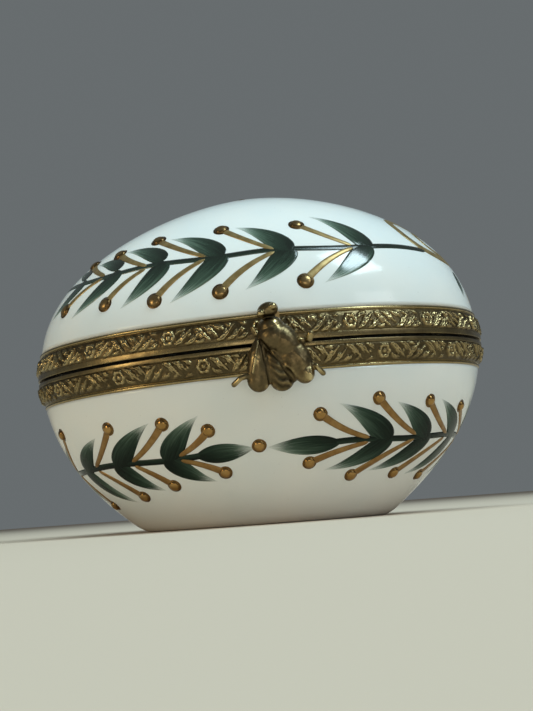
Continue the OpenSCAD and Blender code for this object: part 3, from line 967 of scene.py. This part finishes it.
def remeshed(mesh, voxel, smooth_rounds):
    """Points, normals and faces of the mesh's masses, melted into one skin."""
    obj = bpy.data.objects.new("bee_form", mesh)
    bpy.context.scene.collection.objects.link(obj)
    remesh = obj.modifiers.new("remesh", "REMESH")
    remesh.mode, remesh.voxel_size = "VOXEL", voxel
    smooth = obj.modifiers.new("smooth", "SMOOTH")
    smooth.factor, smooth.iterations = 0.5, smooth_rounds
    bpy.context.view_layer.update()
    made = obj.evaluated_get(bpy.context.evaluated_depsgraph_get()).to_mesh()
    points, normals = np.empty((2, len(made.vertices) * 3))
    made.vertices.foreach_get("co", points)
    made.vertices.foreach_get("normal", normals)
    faces = [list(p.vertices) for p in made.polygons]
    bpy.data.objects.remove(obj)
    return points.reshape(-1, 3), normals.reshape(-1, 3), faces


def groove(x, z, start, end, width):
    """1 on the line from start to end and 0 away from it."""
    a, b = np.array(start, float), np.array(end, float)
    p = np.stack([x, z], -1) - a
    t = np.clip(p @ (b - a) / ((b - a) @ (b - a)), 0, 1)
    d = np.linalg.norm(p - t[:, None] * (b - a), axis=1)
    return np.exp(-(d / width) ** 2)


WING_EDGE = ((-1.7, 0.35), (-0.45, -1.45), (0.5, -2.7), (1.1, -3.9), (2.3, -5.6))  # of the upper wing


def bee_detail(points, normals):
    """How far each point of the casting moves along its normal."""
    x, _, z = points.T
    move = np.zeros(len(x))
    for a, b in zip(WING_EDGE, WING_EDGE[1:]):
        move = np.minimum(move, -0.13 * groove(x, z, a, b, 0.13))
    move -= 0.12 * groove(x, z, (-1.5, -0.4), (-0.8, -6.0), 0.12)
    move -= 0.22 * groove(x, z, (-1.6, 2.95), (1.5, 3.15), 0.16)  # neck
    move += 0.32 * groove(x, z, (-1.8, 0.1), (-2.9, -3.9), 0.12)  # stiff edge of the left wing
    move += 0.12 * groove(x, z, (4.6, -3.4), (4.3, -5.4), 0.16)  # tip of the right wing
    # wrinkled rings of the abdomen
    belly = np.exp(-((x - 0.9) / 1.3) ** 4) * np.clip((-2.6 - z) * 1.2, 0, 1) * (move > -0.05)
    move += 0.1 * belly * np.sin((z + 0.5 * x) * 6.0 + 1.2 * np.sin(x * 3.1))
    # veins that spread over the wings
    right = np.clip((x - 1.2 + 0.35 * (z + 3)) * 2, 0, 1) * np.clip((-1.2 - z) / 2.2, 0, 1)
    move += 0.045 * right * np.sin(34 * np.arctan2(x - 0.6, 3.5 - z) + 0.6 * np.sin(z * 2.6))
    left = np.clip((-1.1 - x) * 2, 0, 1) * np.clip((-1.2 - z) / 1.5, 0, 1)
    move += 0.03 * left * np.sin(30 * np.arctan2(x + 1.0, 4.0 - z) + np.sin(z * 2.1))
    # the uneven skin of a worn casting
    uneven = np.sin(x * 7.3 + 2 * np.sin(z * 2.6)) * np.sin(z * 6.1 + 1.5 * np.sin(x * 2.2))
    move += 0.013 * uneven * (z < 2.8)
    return move * np.clip(-normals[:, 1] * 2, 0, 1)


# Painted highlights where light catches the bee, some on parts that handling rubs bright: (across, up) and
# reach, at its eyes, feet, wing tips, shoulders and the edge of its left wing
HIGHLIGHT_AND_WEAR_SPOTS = (
    ((-1.3, 3.4), 0.6), ((0.5, 4.5), 0.7), ((5.6, -4.2), 0.9), ((-4.9, -4.7), 0.9),
    ((4.8, 0.2), 0.7), ((4.2, -5.2), 0.7), ((-1.0, -5.9), 0.5), ((0.6, 2.2), 0.6),
    ((-2.4, -2.1), 0.7), ((3.5, 0.0), 0.6),
)


def bee_highlights_and_wear(points):
    x, _, z = points.T
    bright = np.zeros(len(x))
    for at, reach in HIGHLIGHT_AND_WEAR_SPOTS:
        bright = np.maximum(bright, np.exp(-((x - at[0]) ** 2 + (z - at[1]) ** 2) / reach ** 2))
    return 0.5 * bright


def make_bee():
    points, normals, faces = remeshed(bee_form(), 0.09, 6)
    move = bee_detail(points, normals)
    points = points + normals * move[:, None]
    points[:, 1] = np.minimum(points[:, 1], 0)
    # patina darker in the grooves, brighter the further forward a point stands, plus the painted highlights
    # above
    patina_and_painted_light = 0.22 + move * 2.4 + 0.08 * np.clip(-points[:, 1] - 0.8, 0, 2.2) + bee_highlights_and_wear(points)
    points[:, 1] -= BEE_BACK
    add_mesh("bee_casting", points, faces, relief_brass, "clasp",
             values={"relief": np.clip(patina_and_painted_light, 0, 1)}, replaces=("bee_clasp",))


make_bee()


# ---- CAD nodes that stay
for node in ("lower_hinge_knuckles", "upper_hinge_knuckle", "hinge_pin", "catch_stud", "clasp_tongue"):
    for slot in frame["nodes"][node].material_slots:
        slot.material = plain_brass


# ---- floor, light and camera
def make_floor():
    bpy.ops.mesh.primitive_circle_add(vertices=96, radius=2.5, fill_type="NGON", location=(0, 0, -0.00005))
    floor = bpy.context.object
    floor.name = "floor"
    n = Nodes("pale_floor")
    n.put(n.shader, Base_Color=(0.66, 0.54, 0.43), Roughness=0.8, Specular_IOR_Level=0.2)
    floor.data.materials.append(n.material)


def add_light(name, position, target, size, energy, colour, in_gloss=True):
    light = bpy.data.lights.new(name, "AREA")
    light.shape = "RECTANGLE"
    light.size, light.size_y = size
    light.energy, light.color = energy, colour
    obj = bpy.data.objects.new(name, light)
    obj.location = position
    obj.rotation_mode = "QUATERNION"
    obj.rotation_quaternion = (Vector(target) - Vector(position)).to_track_quat("-Z", "Y")
    bpy.context.scene.collection.objects.link(obj)
    obj.visible_glossy = in_gloss


def make_world():
    world = bpy.data.worlds.new("studio")
    bpy.context.scene.world = world
    world.use_nodes = True
    background = world.node_tree.nodes["Background"]
    background.inputs["Color"].default_value = (0.74, 0.82, 0.85, 1)
    background.inputs["Strength"].default_value = 0.185


def make_camera():
    """Close, at table height and turned a little, as a telephone held low in front of the box."""
    yaw, roll = math.radians(-3.4), math.radians(-4.16)
    distance, height, aside, above = 0.1932, 0.002, 0.0008, 0.0015
    middle = Vector((RIM_OFFSET * MM, 0, RIM_HEIGHT * MM))
    eye = Vector((middle.x + distance * math.sin(yaw), -distance * math.cos(yaw), height))
    ahead = (middle - eye).normalized()
    right = ahead.cross(Vector((0, 0, 1))).normalized()
    up = right.cross(ahead)
    right, up = right * math.cos(roll) + up * math.sin(roll), up * math.cos(roll) - right * math.sin(roll)
    aim = middle + right * aside + up * above
    ahead = (aim - eye).normalized()
    right = (right - ahead * right.dot(ahead)).normalized()
    up = right.cross(ahead)
    camera = bpy.data.cameras.new("camera")
    camera.lens, camera.sensor_width, camera.sensor_fit = 65.95, 36, "AUTO"
    camera.clip_start, camera.clip_end = 0.005, 20
    obj = bpy.data.objects.new("camera", camera)
    obj.matrix_world = Matrix((right, up, -ahead)).transposed().to_4x4()
    obj.location = eye
    bpy.context.scene.collection.objects.link(obj)
    bpy.context.scene.camera = obj


bpy.context.scene.view_settings.view_transform = "Standard"
make_floor()
make_world()
add_light("overhead_softbox", (-0.02, -0.12, 0.6), (0, 0, 0.03), (0.5, 0.42), 2.5, (0.7, 0.94, 1.0), False)
add_light("window", (0.27, -0.16, 0.44), (0.01, -0.02, 0.034), (0.15, 0.19), 1.15, (0.72, 0.93, 1.0))
add_light("warm_low_window", (-0.42, -0.24, 0.11), (0, 0, 0.024), (0.10, 0.16), 0.36, (1.0, 0.81, 0.5))
add_light("right_wall", (0.46, -0.34, 0.26), (0, 0, 0.024), (0.21, 0.15), 0.27, (0.9, 0.97, 1.0))
add_light("low_front_fill", (0.02, -0.55, 0.05), (0, 0, 0.02), (0.3, 0.08), 0.2, (1.0, 0.92, 0.76))
make_camera()
